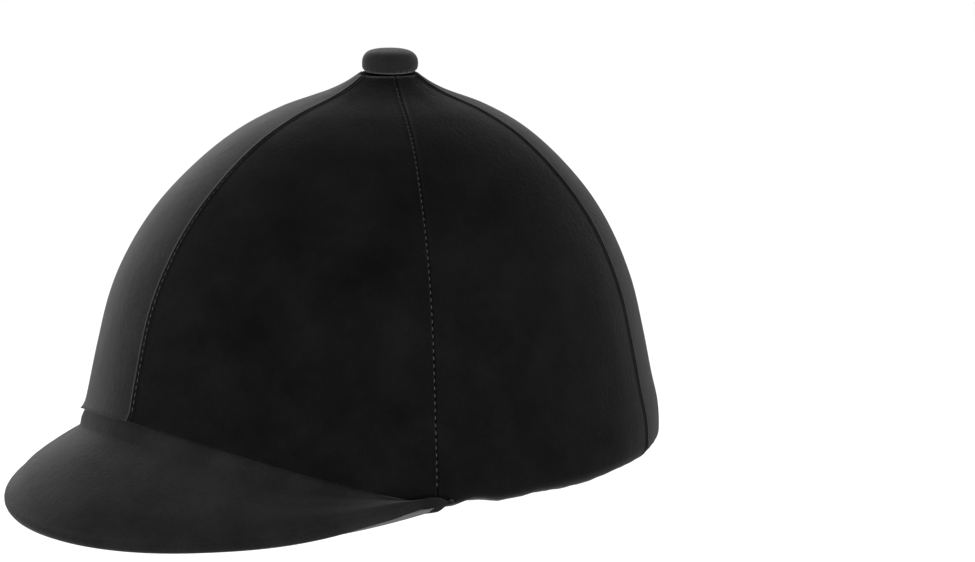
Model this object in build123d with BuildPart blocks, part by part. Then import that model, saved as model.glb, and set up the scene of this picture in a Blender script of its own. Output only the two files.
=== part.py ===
from build123d import *
import math
import os

# An equestrian skull-cap helmet in a fitted velvet cover, as separate pieces. Millimetres.
# +Z is up, the wearer looks along -Y and the wearer's left is +X. The origin is on the rim
# plane, straight below the top button.

# ---------------------------------------------------------------- driving dimensions
# Outside of the cover: height above the rim, and half the front-to-back length there.
CROWN = [(-14, 136.0), (0, 137.4), (15, 136.8), (30, 133.2), (50, 128.7), (72, 122.8), (92, 113.8),
         (110, 101.8), (126, 86.0), (139, 68.0), (149, 48.0), (156, 29.0), (160.5, 20.0), (165, 13.6)]
WIDTH_RATIO = 0.85          # every level is an ellipse this much narrower than it is long
FORWARD_RATIO = 0.069       # and its centre lies this share of its half-length ahead of the button,
FORWARD_MOST = 8.3          # up to this much
SEAM_ANGLES = [0, 59.5, 125, 180]     # panel seams, from straight ahead round to the back
SEAM_GAP = 0.3
PANEL_FOOT = 4.0            # lower edge of the side and rear panels

VELVET = 1.5                # pile and backing
COVER_GAP = 0.6             # between the cover and the shell
SHELL = 3.0
SHELL_DOME = [(112, 96.2), (125, 82.5), (137, 65.0), (146, 45.0), (151.5, 25.0), (153.5, 9.0)]
SHELL_FOOT = 8.5
LAYER_GAP = 0.2             # between layers that are bonded in the real helmet
LINER = 20.5
PAD = 8.5
PAD_HEIGHTS = (11.0, 50.0)
CROWN_PAD_RADIUS = 54.0

TRIM_FOOT = 4.5
TRIM_REACH = 7.0            # how far the rim trim reaches in under the liner

HEM_FOOT = -2.2
HEM_PROFILE = [(HEM_FOOT, 129.5), (-0.8, 133.4), (1.4, 135.9), (PANEL_FOOT - 0.2, 137.2)]
HEM_CEILING = 2.8
HEM_OPENING = 121.0         # half-length of the hole in the gathered hem
ELASTIC_IN = 124.0
ELASTIC_OUT = 130.5
ELASTIC_HEIGHTS = (-0.5, 1.0)

PEAK_HALF_ANGLE = 58.8
PEAK_SECTIONS = 9
PEAK_SEAM_HEIGHT = 23.0     # crown-to-peak seam, at the front
PEAK_SEAM_REACH = 63.0      # the angle where that seam would meet the rim plane
PEAK_STAND = 8.0            # the upright strip under the seam
PEAK_ROOT_STEP = 0.4
PEAK_PLAN = (0, 126.0, 109.0, 60.0)     # outline from above: an ellipse 60 ahead of the button
PEAK_EDGE = 5.5             # thickness at the edge
PEAK_EDGE_FOOT = -1.0
PEAK_UNDER_ROOT = -2.2      # where the underside meets the hem
PEAK_DROOP = 14.0
PEAK_END_WIDTH = 5.0

BUTTON_RADIUS = 12.4
BUTTON_FOOT = 166.0
BUTTON_HEIGHT = 10.2
BUTTON_SKIN = 1.2

RIBBON = 15.0
RIBBON_THICKNESS = 0.6
TAIL_TOPS = (54.0, 48.0)    # the left tail stands taller than the right
TAIL_FOOT = 8.1             # sideways distance from the middle to the foot of each tail
TAIL_LEAN = 6.5
TAIL_NOTCH = 11.0
LOOP_REACH = 43.0
LOOP_BACK = 126.0
KNOT = (13.0, 12.0, 5.5)
KNOT_HEIGHT = -6.4

WEBBING = 15.0
WEBBING_THICKNESS = 1.5
STRAP_MIDDLE = -9.5         # Y of each strap's middle line
ANCHOR_SPREAD = 42.0        # half the distance between a front and a rear anchor
ANCHOR_HEIGHT = 25.0        # rivet height
SWING_X = 79.5              # the line that a harness side folds about
SWING_Z = 12.0
STOW_TILT = 14.0            # how far the stowed straps lean inwards
STRAP_LENGTH = 61.0
DIVIDER = (44.0, 22.0, 3.6)
DIVIDER_START = 57.0
FOLD_LENGTH = 82.0          # from the swing line to the line the chin strap folds about
FOLD_OFFSET = 2.1
CHIN_LENGTH = 44.0
BUCKLE_START = 40.0
RIVET_RADIUS = 2.0
RIVET_HEAD = 4.2


# ---------------------------------------------------------------- dome surfaces
def ellipses(profile):
    """Turn heights and half-lengths into sections: height, half-length, half-width, forward."""
    return [(z, a, a * WIDTH_RATIO, min(a * FORWARD_RATIO, FORWARD_MOST)) for z, a in profile]


def shrink(sections, depth):
    """Move a dome surface inwards by depth, square to its own slope."""
    moved = []
    last = len(sections) - 1
    for i, (z, a, b, forward) in enumerate(sections):
        below = sections[max(i - 1, 0)]
        above = sections[min(i + 1, last)]
        rise = above[0] - below[0]
        long_run = math.hypot(rise, above[1] - below[1])
        wide_run = math.hypot(rise, above[2] - below[2])
        drop = depth * (below[1] - above[1]) / long_run
        moved.append((z - drop, a - depth * rise / long_run, b - depth * rise / wide_run, forward))
    return moved


def section_at(sections, height):
    """The section at a height, between its two neighbours."""
    for low, high in zip(sections, sections[1:]):
        if low[0] <= height <= high[0]:
            share = (height - low[0]) / (high[0] - low[0])
            return tuple(p + share * (q - p) for p, q in zip(low, high))
    raise ValueError(height)


def reach(section, angle):
    """Distance from the button axis to a section's edge, at an angle from straight ahead."""
    _, a, b, forward = section
    ahead = math.cos(math.radians(angle))
    aside = math.sin(math.radians(angle))
    square = (ahead / a) ** 2 + (aside / b) ** 2
    linear = -2 * forward * ahead / a ** 2
    constant = (forward / a) ** 2 - 1
    return (-linear + math.sqrt(linear ** 2 - 4 * square * constant)) / (2 * square)


def dome(sections):
    """A solid through the sections, from the lowest to the highest."""
    with BuildPart() as solid:
        for height, half_length, half_width, forward in sections:
            with BuildSketch(Plane.XY.offset(height)):
                with Locations((0, -forward)):
                    Ellipse(half_width, half_length)
        loft()
    return solid.part


def rounded_cylinder(half_length, low, high):
    """An upright elliptical post with the crown's proportions."""
    return dome(ellipses([(low, half_length), (high, half_length)]))


def wedge(start, end, low=-60.0, high=200.0, radius=400.0):
    """The space between two upright planes through the button axis, at angles from the front."""
    with BuildPart() as solid:
        with BuildSketch(Plane.XY.offset(low)):
            with BuildLine():
                Polyline((0, 0), spoke(start, radius), spoke((start + end) / 2, radius * 1.4),
                         spoke(end, radius), close=True)
            make_face()
        extrude(amount=high - low)
    return solid.part


def spoke(angle, radius):
    """A plan point at an angle from straight ahead, positive to the wearer's left."""
    turn = math.radians(angle)
    return (radius * math.sin(turn), -radius * math.cos(turn))


def radial_plane(angle):
    """An upright plane through the button axis: x is outwards and y is up."""
    outward = Vector(*spoke(angle, 1.0), 0)
    return Plane(origin=(0, 0, 0), x_dir=outward, z_dir=outward.cross(Vector(0, 0, 1)))


COVER_OUTSIDE = ellipses(CROWN)
COVER_INSIDE = shrink(COVER_OUTSIDE, VELVET)
SHELL_OUTSIDE = shrink(COVER_OUTSIDE, VELVET + COVER_GAP)[:7] + ellipses(SHELL_DOME)
SHELL_INSIDE = shrink(SHELL_OUTSIDE, SHELL)
LINER_OUTSIDE = shrink(SHELL_OUTSIDE, SHELL + LAYER_GAP)
LINER_INSIDE = shrink(SHELL_OUTSIDE, SHELL + LAYER_GAP + LINER)
PAD_OUTSIDE = shrink(SHELL_OUTSIDE, SHELL + 2 * LAYER_GAP + LINER)
PAD_INSIDE = shrink(SHELL_OUTSIDE, SHELL + 2 * LAYER_GAP + LINER + PAD)

os.makedirs("parts", exist_ok=True)


def save(part, name):
    """Label a finished piece and write it."""
    part.label = name
    export_step(part, f"parts/{name}.step")


# ---------------------------------------------------------------- helmet: shell and rim trim
def anchor_plane(side, end):
    """A plane on the shell's inner face at a rivet: z points outwards, y is up."""
    inner = section_at(SHELL_INSIDE, ANCHOR_HEIGHT)
    along = STRAP_MIDDLE + end * ANCHOR_SPREAD
    offset = along + inner[3]
    x = inner[2] * math.sqrt(1 - (offset / inner[1]) ** 2)
    normal = Vector(side * x / inner[2] ** 2, offset / inner[1] ** 2, 0)
    origin = (side * x, along, ANCHOR_HEIGHT)
    return Plane(origin=origin, x_dir=Vector(0, 0, 1).cross(normal), z_dir=normal)


ANCHORS = [(side, end) for side in (1, -1) for end in (1, -1)]

with BuildPart() as outer_shell:
    add(dome(SHELL_OUTSIDE))
    add(dome(SHELL_INSIDE), mode=Mode.SUBTRACT)
    split(bisect_by=Plane.XY.offset(SHELL_FOOT), keep=Keep.TOP)
    for side, end in ANCHORS:
        with BuildSketch(anchor_plane(side, end).offset(-1)):
            Circle(RIVET_RADIUS + 0.05)
        extrude(amount=SHELL + 4, mode=Mode.SUBTRACT)
        with BuildSketch(anchor_plane(side, end).offset(SHELL - 1.2)):
            Circle(RIVET_HEAD + 0.1)
        extrude(amount=4, mode=Mode.SUBTRACT)
outer_shell.part.label = "outer_shell"
export_step(outer_shell.part, "parts/outer_shell.step")

with BuildPart() as shell_rim_trim:
    rim_outside = section_at(SHELL_OUTSIDE, SHELL_FOOT)[1]
    add(rounded_cylinder(rim_outside, TRIM_FOOT, SHELL_FOOT - LAYER_GAP))
    chamfer(shell_rim_trim.edges().group_by(Axis.Z)[0], 1.0)
    add(rounded_cylinder(rim_outside - TRIM_REACH, TRIM_FOOT - 1, SHELL_FOOT + 1), mode=Mode.SUBTRACT)
shell_rim_trim.part.label = "shell_rim_trim"
export_step(shell_rim_trim.part, "parts/shell_rim_trim.step")

# ---------------------------------------------------------------- helmet: liner
with BuildPart() as impact_liner:
    add(dome(LINER_OUTSIDE))
    add(dome(LINER_INSIDE), mode=Mode.SUBTRACT)
    split(bisect_by=Plane.XY.offset(SHELL_FOOT), keep=Keep.TOP)
    for side, end in ANCHORS:
        with BuildSketch(anchor_plane(side, end).offset(-5.5)):
            with Locations((0, -6)):
                Rectangle(WEBBING + 4, 30)
        extrude(amount=9.5, mode=Mode.SUBTRACT)
        with BuildSketch(Plane.XY.offset(SHELL_FOOT - 1)):
            with Locations((side * 95, STRAP_MIDDLE + end * ANCHOR_SPREAD)):
                Rectangle(44, WEBBING + 3)
        extrude(amount=8, mode=Mode.SUBTRACT)
impact_liner.part.label = "impact_liner"
export_step(impact_liner.part, "parts/impact_liner.step")


# ---------------------------------------------------------------- helmet: pads
def headband_pad(start, end):
    """A stretch of the padded band between two angles from the front."""
    with BuildPart() as pad:
        add(dome(PAD_OUTSIDE))
        add(dome(PAD_INSIDE), mode=Mode.SUBTRACT)
        add(wedge(start, end, PAD_HEIGHTS[0], PAD_HEIGHTS[1]), mode=Mode.INTERSECT)
    return pad.part


save(headband_pad(-47, 47), "pad_front")
save(headband_pad(74, 97), "pad_left")
save(headband_pad(-97, -74), "pad_right")
save(headband_pad(124, 236), "pad_rear")

with BuildPart() as crown_pad:
    add(dome(PAD_OUTSIDE))
    add(dome(PAD_INSIDE), mode=Mode.SUBTRACT)
    add(rounded_cylinder(CROWN_PAD_RADIUS, 60, 200), mode=Mode.INTERSECT)
crown_pad.part.label = "crown_pad"
export_step(crown_pad.part, "parts/crown_pad.step")

# ---------------------------------------------------------------- harness: tails and rivets
def anchor_strap(side, end):
    """A webbing tail: a tab riveted inside the shell, and a run in to the swing line."""
    base = anchor_plane(side, end)
    with BuildPart() as tail:
        with BuildSketch(Plane.XY.offset(SWING_Z - WEBBING_THICKNESS / 2)):
            with Locations((side * (SWING_X + 1.2 + 20), base.origin.Y)):
                Rectangle(40, WEBBING)
        extrude(amount=WEBBING_THICKNESS)
        split(bisect_by=base.offset(-2.0), keep=Keep.BOTTOM)
        with BuildSketch(base.offset(-1.2)):
            with Locations((0, -4.5)):
                Rectangle(WEBBING, 19)
        extrude(amount=-WEBBING_THICKNESS)
        with BuildSketch(base.offset(1)):
            Circle(RIVET_RADIUS + 0.05)
        extrude(amount=-4, mode=Mode.SUBTRACT)
    return tail.part


with BuildPart() as anchor_straps:
    for side, end in ANCHORS:
        add(anchor_strap(side, end))
anchor_straps.part.label = "anchor_straps"
export_step(anchor_straps.part, "parts/anchor_straps.step")

with BuildPart() as rivets:
    for side, end in ANCHORS:
        base = anchor_plane(side, end)
        with BuildSketch(base.offset(-4.4)):
            Circle(RIVET_RADIUS)
        extrude(amount=SHELL + 3.4)
        with BuildSketch(base.offset(SHELL - 1.1)):
            Circle(RIVET_HEAD)
        extrude(amount=0.9)
        with BuildSketch(base.offset(-4.4)):
            Circle(RIVET_HEAD - 1)
        extrude(amount=0.6)
rivets.part.label = "rivets"
export_step(rivets.part, "parts/rivets.step")

with BuildPart() as rivet_washers:
    for side, end in ANCHORS:
        with BuildSketch(anchor_plane(side, end).offset(-2.8)):
            Circle(RIVET_HEAD + 0.8)
            Circle(RIVET_RADIUS + 0.1, mode=Mode.SUBTRACT)
        extrude(amount=-0.8)
rivet_washers.part.label = "rivet_washers"
export_step(rivet_washers.part, "parts/rivet_washers.step")


# ---------------------------------------------------------------- harness: moving straps
def strap_plane(side, depth=0.0):
    """The plane a stowed harness side lies in: x is backwards, y runs up the strap."""
    tilt = math.radians(STOW_TILT)
    upward = Vector(-side * math.sin(tilt), 0, math.cos(tilt))
    inward = Vector(-side * math.cos(tilt), 0, -math.sin(tilt))
    return Plane(
        origin=Vector(side * SWING_X, STRAP_MIDDLE, SWING_Z) + inward * depth,
        x_dir=Vector(0, 1, 0),
        z_dir=Vector(0, 1, 0).cross(upward),
    )


def plate(side, depth, thickness, low, high, width, corner, middle=0.0):
    """A flat rounded plate that lies along a harness side, centred on a depth."""
    with BuildPart() as solid:
        with BuildSketch(strap_plane(side, depth)):
            with Locations((middle, (low + high) / 2)):
                RectangleRounded(width, high - low, corner)
        extrude(amount=thickness / 2, both=True)
    return solid.part


def v_strap(side, end):
    """A webbing strap from its anchor up to the divider."""
    foot = end * ANCHOR_SPREAD
    head = end * (WEBBING / 2 + 1.6)
    half = WEBBING / 2 / math.cos(math.atan2(abs(foot - head), STRAP_LENGTH))
    with BuildPart() as strap:
        with BuildSketch(strap_plane(side)):
            with BuildLine():
                Polyline((foot - half, 1.0), (foot + half, 1.0), (head + half, STRAP_LENGTH),
                         (head - half, STRAP_LENGTH), close=True)
            make_face()
        extrude(amount=WEBBING_THICKNESS / 2, both=True)
    return strap.part


def divider(side):
    """The plastic plate that gathers a side's straps, with a slot for each strap and the chin strap."""
    width, height, thickness = DIVIDER
    with BuildPart() as solid:
        add(plate(side, 0, thickness, DIVIDER_START, DIVIDER_START + height, width, 4))
        with BuildSketch(strap_plane(side)):
            with Locations((0, DIVIDER_START + 2)):
                Rectangle(2 * WEBBING + 11, 5)
        extrude(amount=WEBBING_THICKNESS / 2 + 0.15, both=True, mode=Mode.SUBTRACT)
        with BuildSketch(strap_plane(side)):
            with Locations((0, DIVIDER_START + height - 5)):
                SlotOverall(WEBBING + 4, 4)
        extrude(amount=thickness, both=True, mode=Mode.SUBTRACT)
    return solid.part


CHIN_DEPTH = 2 * FOLD_OFFSET


def chin_strap(side):
    """Half a chin strap, folded back down beside its harness side."""
    low = FOLD_LENGTH - CHIN_LENGTH
    high = FOLD_LENGTH - 1.5
    return plate(side, CHIN_DEPTH, WEBBING_THICKNESS, low, high, WEBBING, 0.5)


def buckle_span(start, length):
    """Distances up the strap plane of something that starts so far along the chin strap."""
    return FOLD_LENGTH - start - length, FOLD_LENGTH - start


for side, name in ((1, "left"), (-1, "right")):
    save(v_strap(side, -1), f"strap_front_{name}")
    save(v_strap(side, 1), f"strap_rear_{name}")
    save(divider(side), f"divider_{name}")
    save(chin_strap(side), f"chin_strap_{name}")

BUCKLE_DEPTH = CHIN_DEPTH + 0.2
BUCKLE_THICKNESS = 6.0

with BuildPart() as buckle_male:
    low, high = buckle_span(BUCKLE_START, 13)
    add(plate(1, BUCKLE_DEPTH, BUCKLE_THICKNESS, low, high, 24, 2.5))
    add(plate(1, BUCKLE_DEPTH, WEBBING_THICKNESS + 0.4, high - 4.2, high + 1, WEBBING + 0.6, 0.2),
        mode=Mode.SUBTRACT)
    for middle in (-8.5, 8.5):
        add(plate(1, BUCKLE_DEPTH, 3.4, low - 17, low + 1, 4.4, 1.6, middle))
    add(plate(1, BUCKLE_DEPTH, 2.4, low - 13, low + 1, 4.0, 1.2))
buckle_male.part.label = "buckle_male"
export_step(buckle_male.part, "parts/buckle_male.step")

with BuildPart() as buckle_female:
    low, high = buckle_span(BUCKLE_START, 32)
    add(plate(-1, BUCKLE_DEPTH, BUCKLE_THICKNESS + 0.4, low, high, 26, 4))
    add(plate(-1, BUCKLE_DEPTH, WEBBING_THICKNESS + 0.4, high - 4.2, high + 1, WEBBING + 0.6, 0.2),
        mode=Mode.SUBTRACT)
    add(plate(-1, BUCKLE_DEPTH, 3.9, low - 1, low + 18, 21.4, 0.5), mode=Mode.SUBTRACT)
    for middle in (-13, 13):
        add(plate(-1, BUCKLE_DEPTH, 3.4, low + 8, low + 17, 6, 1.2, middle), mode=Mode.SUBTRACT)
buckle_female.part.label = "buckle_female"
export_step(buckle_female.part, "parts/buckle_female.step")

SLIDER_START = 19.0
with BuildPart() as adjuster:
    low, high = buckle_span(SLIDER_START, 12)
    add(plate(1, CHIN_DEPTH, 4.0, low, high, 22, 2))
    add(plate(1, CHIN_DEPTH, WEBBING_THICKNESS + 0.4, low - 1, high + 1, WEBBING + 0.5, 0.2),
        mode=Mode.SUBTRACT)
    with BuildSketch(strap_plane(1, CHIN_DEPTH + 2)):
        with Locations((0, low + 3.5), (0, high - 3.5)):
            SlotOverall(WEBBING, 2.4)
    extrude(amount=2.5, both=True, mode=Mode.SUBTRACT)
adjuster.part.label = "adjuster"
export_step(adjuster.part, "parts/adjuster.step")

with BuildPart() as strap_keeper:
    low, high = buckle_span(SLIDER_START, 7)
    add(plate(-1, CHIN_DEPTH, 3.6, low, high, WEBBING + 3, 1))
    add(plate(-1, CHIN_DEPTH, WEBBING_THICKNESS + 0.3, low - 1, high + 1, WEBBING + 0.4, 0.2),
        mode=Mode.SUBTRACT)
strap_keeper.part.label = "strap_keeper"
export_step(strap_keeper.part, "parts/strap_keeper.step")


# ---------------------------------------------------------------- cover: peak
def seam_height(angle):
    """Height of the crown-to-peak seam at an angle from the front."""
    return PEAK_SEAM_HEIGHT * (1 - (angle / PEAK_SEAM_REACH) ** 2)


def edge_foot(angle):
    """Height of the underside of the peak's edge."""
    return PEAK_EDGE_FOOT - PEAK_DROOP * math.cos(math.radians(angle * 90 / PEAK_SEAM_REACH))


def peak_edge_reach(angle):
    """Distance of the peak's edge from the button axis."""
    crown = reach(section_at(COVER_OUTSIDE, 0), angle)
    return max(reach(PEAK_PLAN, angle), crown + PEAK_END_WIDTH)


def peak_top(angle, depth):
    """Points down the peak's upper surface, from the seam to the edge, moved in by a depth."""
    top = seam_height(angle)
    root = reach(section_at(COVER_OUTSIDE, top), angle) + PEAK_ROOT_STEP
    width = peak_edge_reach(angle) - root
    edge = edge_foot(angle) + PEAK_EDGE
    fall = top - edge
    stand = min(PEAK_STAND, 0.35 * fall)
    points = [
        (root, top - SEAM_GAP / 2),
        (root + 1.2, top - stand),
        (root + 0.36 * width, top - stand - 0.30 * (fall - stand)),
        (root + 0.72 * width, top - stand - 0.64 * (fall - stand)),
        (root + width, edge),
    ]
    moved = []
    for i, (r, z) in enumerate(points):
        before = points[max(i - 1, 0)]
        after = points[min(i + 1, len(points) - 1)]
        run = math.hypot(after[0] - before[0], after[1] - before[1])
        rise = (after[1] - before[1]) / run
        moved.append((r + depth * rise, z - depth * (after[0] - before[0]) / run))
    return moved


def peak_under(angle, raised):
    """Points along the peak's underside, from the hem to the edge, moved up by a height."""
    root = reach(section_at(COVER_OUTSIDE, PANEL_FOOT), angle) + 0.5
    tip = peak_edge_reach(angle) - 0.8
    foot = edge_foot(angle)
    middle = (PEAK_UNDER_ROOT + foot) / 2 + 0.04 * (tip - root)
    return [(root, PEAK_UNDER_ROOT + raised), ((root + tip) / 2, middle + raised), (tip, foot + raised)]


def peak_loft(outline):
    """A solid lofted from one end of the peak to the other through outlines of joined curves."""
    with BuildPart() as layer:
        for step in range(PEAK_SECTIONS):
            angle = -PEAK_HALF_ANGLE + step * 2 * PEAK_HALF_ANGLE / (PEAK_SECTIONS - 1)
            curves = outline(angle)
            with BuildSketch(radial_plane(angle)):
                with BuildLine():
                    for points, onward in zip(curves, curves[1:] + curves[:1]):
                        if len(points) == 2:
                            Line(*points)
                        else:
                            Spline(*points)
                        if points[-1] != onward[0]:
                            Line(points[-1], onward[0])
                make_face()
        loft()
    return layer.part


def top_velvet_outline(angle):
    """Stand and brim of the velvet, out along its face and back along its underside."""
    front = peak_top(angle, 0)
    back = peak_top(angle, VELVET)
    return [front[:2], front[1:], back[:0:-1], back[1::-1]]


def core_outline(angle):
    """The stiff wedge between the two velvets, kept off the shell at its root."""
    above = peak_top(angle, VELVET + 4 * LAYER_GAP)
    below = peak_under(angle, VELVET + LAYER_GAP)
    start = (below[0][0], max(above[1][1] - 1.2, below[0][1] + 0.3))
    return [[start] + above[2:], below[::-1]]


def under_velvet_outline(angle):
    """The velvet under the peak, from the hem to the edge and back."""
    return [peak_under(angle, VELVET), peak_under(angle, 0)[::-1]]


save(peak_loft(top_velvet_outline), "peak_top_velvet")
save(peak_loft(core_outline), "peak_core")
save(peak_loft(under_velvet_outline), "peak_under_velvet")

# ---------------------------------------------------------------- cover: crown panels
with BuildPart() as crown_skin:
    add(dome(COVER_OUTSIDE))
    add(dome(COVER_INSIDE), mode=Mode.SUBTRACT)
    split(bisect_by=Plane.XY.offset(PANEL_FOOT), keep=Keep.TOP)

CUTTER_HALF_ANGLE = SEAM_ANGLES[1] + 4
with BuildPart() as peak_cutter:
    for step in range(PEAK_SECTIONS):
        angle = CUTTER_HALF_ANGLE * (2 * step / (PEAK_SECTIONS - 1) - 1)
        top = seam_height(angle)
        with BuildSketch(radial_plane(angle)):
            with BuildLine():
                Polyline((70, -40), (210, -40), (210, top), (70, top), close=True)
            make_face()
    loft()


def panel(start, end):
    """The velvet between two seams."""
    turn = math.degrees(SEAM_GAP / 2 / CROWN[1][1])
    with BuildPart() as gore:
        add(crown_skin.part)
        add(wedge(start + turn, end - turn), mode=Mode.INTERSECT)
        if abs(start + end) / 2 < SEAM_ANGLES[1]:
            add(peak_cutter.part, mode=Mode.SUBTRACT)
    return gore.part


for order, name in enumerate(("front", "side", "rear")):
    start, end = SEAM_ANGLES[order:order + 2]
    save(panel(start, end), f"panel_{name}_left")
    save(panel(-end, -start), f"panel_{name}_right")

# ---------------------------------------------------------------- cover: hem
with BuildPart() as hem_casing:
    add(dome(ellipses(HEM_PROFILE)))
    add(rounded_cylinder(HEM_PROFILE[-1][1] - VELVET, HEM_CEILING, HEM_CEILING + 4), mode=Mode.SUBTRACT)
    add(rounded_cylinder(HEM_OPENING, HEM_FOOT - 1, HEM_CEILING + 1), mode=Mode.SUBTRACT)
    with BuildSketch(Plane.XY.offset(ELASTIC_HEIGHTS[0] - 0.15)):
        with Locations((0, -FORWARD_MOST)):
            Ellipse((ELASTIC_OUT + 0.2) * WIDTH_RATIO, ELASTIC_OUT + 0.2)
            Ellipse((ELASTIC_IN - 0.2) * WIDTH_RATIO, ELASTIC_IN - 0.2, mode=Mode.SUBTRACT)
    extrude(amount=ELASTIC_HEIGHTS[1] - ELASTIC_HEIGHTS[0] + 0.3, mode=Mode.SUBTRACT)
hem_casing.part.label = "hem_casing"
export_step(hem_casing.part, "parts/hem_casing.step")

with BuildPart() as hem_elastic:
    with BuildSketch(Plane.XY.offset(ELASTIC_HEIGHTS[0])):
        with Locations((0, -FORWARD_MOST)):
            Ellipse(ELASTIC_OUT * WIDTH_RATIO, ELASTIC_OUT)
            Ellipse(ELASTIC_IN * WIDTH_RATIO, ELASTIC_IN, mode=Mode.SUBTRACT)
    extrude(amount=ELASTIC_HEIGHTS[1] - ELASTIC_HEIGHTS[0])
hem_elastic.part.label = "hem_elastic"
export_step(hem_elastic.part, "parts/hem_elastic.step")


# ---------------------------------------------------------------- cover: top button
def button_body(inset):
    """A plump disc with a rounded edge, smaller all round by an inset."""
    foot = BUTTON_FOOT + inset
    top = BUTTON_FOOT + BUTTON_HEIGHT - inset
    radius = BUTTON_RADIUS - inset
    with BuildPart() as body:
        with BuildSketch(Plane.XZ):
            with BuildLine():
                Line((0, foot), (radius - 2.2, foot))
                Spline((radius - 2.2, foot), (radius, foot + 3.8), (radius - 3.4, top - 1.0), (0, top),
                       tangents=[(1, 0.25), (-1, 0)])
                Line((0, top), (0, foot))
            make_face()
        revolve(axis=Axis.Z)
    return body.part


with BuildPart() as button_core:
    add(button_body(BUTTON_SKIN + 0.1))
button_core.part.label = "button_core"
export_step(button_core.part, "parts/button_core.step")

with BuildPart() as button_velvet:
    add(button_body(0))
    add(button_body(BUTTON_SKIN), mode=Mode.SUBTRACT)
button_velvet.part.label = "button_velvet"
export_step(button_velvet.part, "parts/button_velvet.step")


# ---------------------------------------------------------------- cover: ribbon bow
def ribbon_edge(route):
    """Draw the outline of a ribbon seen edge-on, half its thickness to each side of a route."""
    near = []
    far = []
    for i, (across, up) in enumerate(route):
        before = route[max(i - 1, 0)]
        after = route[min(i + 1, len(route) - 1)]
        step = RIBBON_THICKNESS / 2 / math.dist(before, after)
        aside = ((before[1] - after[1]) * step, (after[0] - before[0]) * step)
        near.append((across + aside[0], up + aside[1]))
        far.append((across - aside[0], up - aside[1]))
    Spline(*near)
    Spline(*far)
    Line(near[0], far[0])
    Line(near[-1], far[-1])


def ribbon_tail(side, top):
    """A ribbon end that stands up the back of the hat, with a notch cut in its top."""
    route = [
        (124.9, -3.2),
        (130.3, 1.0),
        (131.7, 9.0),
        (130.9, 22.0),
        (126.9, 39.0),
        (126.9 - (top - 39.0) * 0.13, top),
    ]
    with BuildPart() as tail:
        with BuildSketch(Plane.YZ.offset(-RIBBON / 2)):
            with BuildLine():
                ribbon_edge(route)
            make_face()
        extrude(amount=RIBBON)
        with BuildSketch(Plane.XZ.offset(-LOOP_BACK + RIBBON)):
            with BuildLine():
                Polyline((-RIBBON / 2, top + 0.4), (0, top - TAIL_NOTCH), (RIBBON / 2, top + 0.4),
                         close=True)
            make_face()
        extrude(amount=-2 * RIBBON, mode=Mode.SUBTRACT)
    return tail.part.moved(Location((side * TAIL_FOOT, 0, 0), (0, side * TAIL_LEAN, 0)))


def ribbon_loop(side):
    """A flat loop of ribbon that leaves the knot sideways under the hem and comes back to it."""
    route = [
        (0.18 * LOOP_REACH, -5.2),
        (0.40 * LOOP_REACH, -4.9),
        (0.62 * LOOP_REACH, -5.9),
        (0.82 * LOOP_REACH, -8.2),
        (0.95 * LOOP_REACH, -11.0),
        (1.00 * LOOP_REACH, -13.4),
        (0.96 * LOOP_REACH, -15.0),
        (0.84 * LOOP_REACH, -15.4),
        (0.62 * LOOP_REACH, -13.6),
        (0.40 * LOOP_REACH, -10.4),
        (0.18 * LOOP_REACH, -7.4),
    ]
    with BuildPart() as loop:
        with BuildSketch(Plane.XZ.offset(-LOOP_BACK)):
            with BuildLine():
                ribbon_edge([(side * x, z) for x, z in route])
            make_face()
        extrude(amount=RIBBON)
    return loop.part


save(ribbon_tail(1, TAIL_TOPS[0]), "bow_tail_left")
save(ribbon_tail(-1, TAIL_TOPS[1]), "bow_tail_right")
save(ribbon_loop(1), "bow_loop_left")
save(ribbon_loop(-1), "bow_loop_right")

with BuildPart() as bow_knot:
    with Locations((0, 118.5, KNOT_HEIGHT)):
        Box(*KNOT)
    fillet(bow_knot.edges(), 1.6)
bow_knot.part.label = "bow_knot"
export_step(bow_knot.part, "parts/bow_knot.step")
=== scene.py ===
import bisect
import math

import bmesh
import bpy
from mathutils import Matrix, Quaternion, Vector, noise


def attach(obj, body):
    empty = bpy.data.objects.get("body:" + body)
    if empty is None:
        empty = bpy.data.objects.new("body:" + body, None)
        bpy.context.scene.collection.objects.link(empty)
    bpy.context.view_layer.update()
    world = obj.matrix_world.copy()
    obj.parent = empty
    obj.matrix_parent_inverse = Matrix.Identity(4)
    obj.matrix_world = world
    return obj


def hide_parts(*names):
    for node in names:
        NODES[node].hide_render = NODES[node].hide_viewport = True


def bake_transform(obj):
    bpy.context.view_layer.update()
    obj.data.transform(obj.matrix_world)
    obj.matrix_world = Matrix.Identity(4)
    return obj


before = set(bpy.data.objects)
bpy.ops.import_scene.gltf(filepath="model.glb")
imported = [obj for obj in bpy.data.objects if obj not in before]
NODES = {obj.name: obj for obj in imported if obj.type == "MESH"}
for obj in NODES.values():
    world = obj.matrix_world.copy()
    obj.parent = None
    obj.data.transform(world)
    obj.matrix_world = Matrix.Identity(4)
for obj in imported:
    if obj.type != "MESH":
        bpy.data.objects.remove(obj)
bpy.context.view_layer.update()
MM = 0.001

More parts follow.
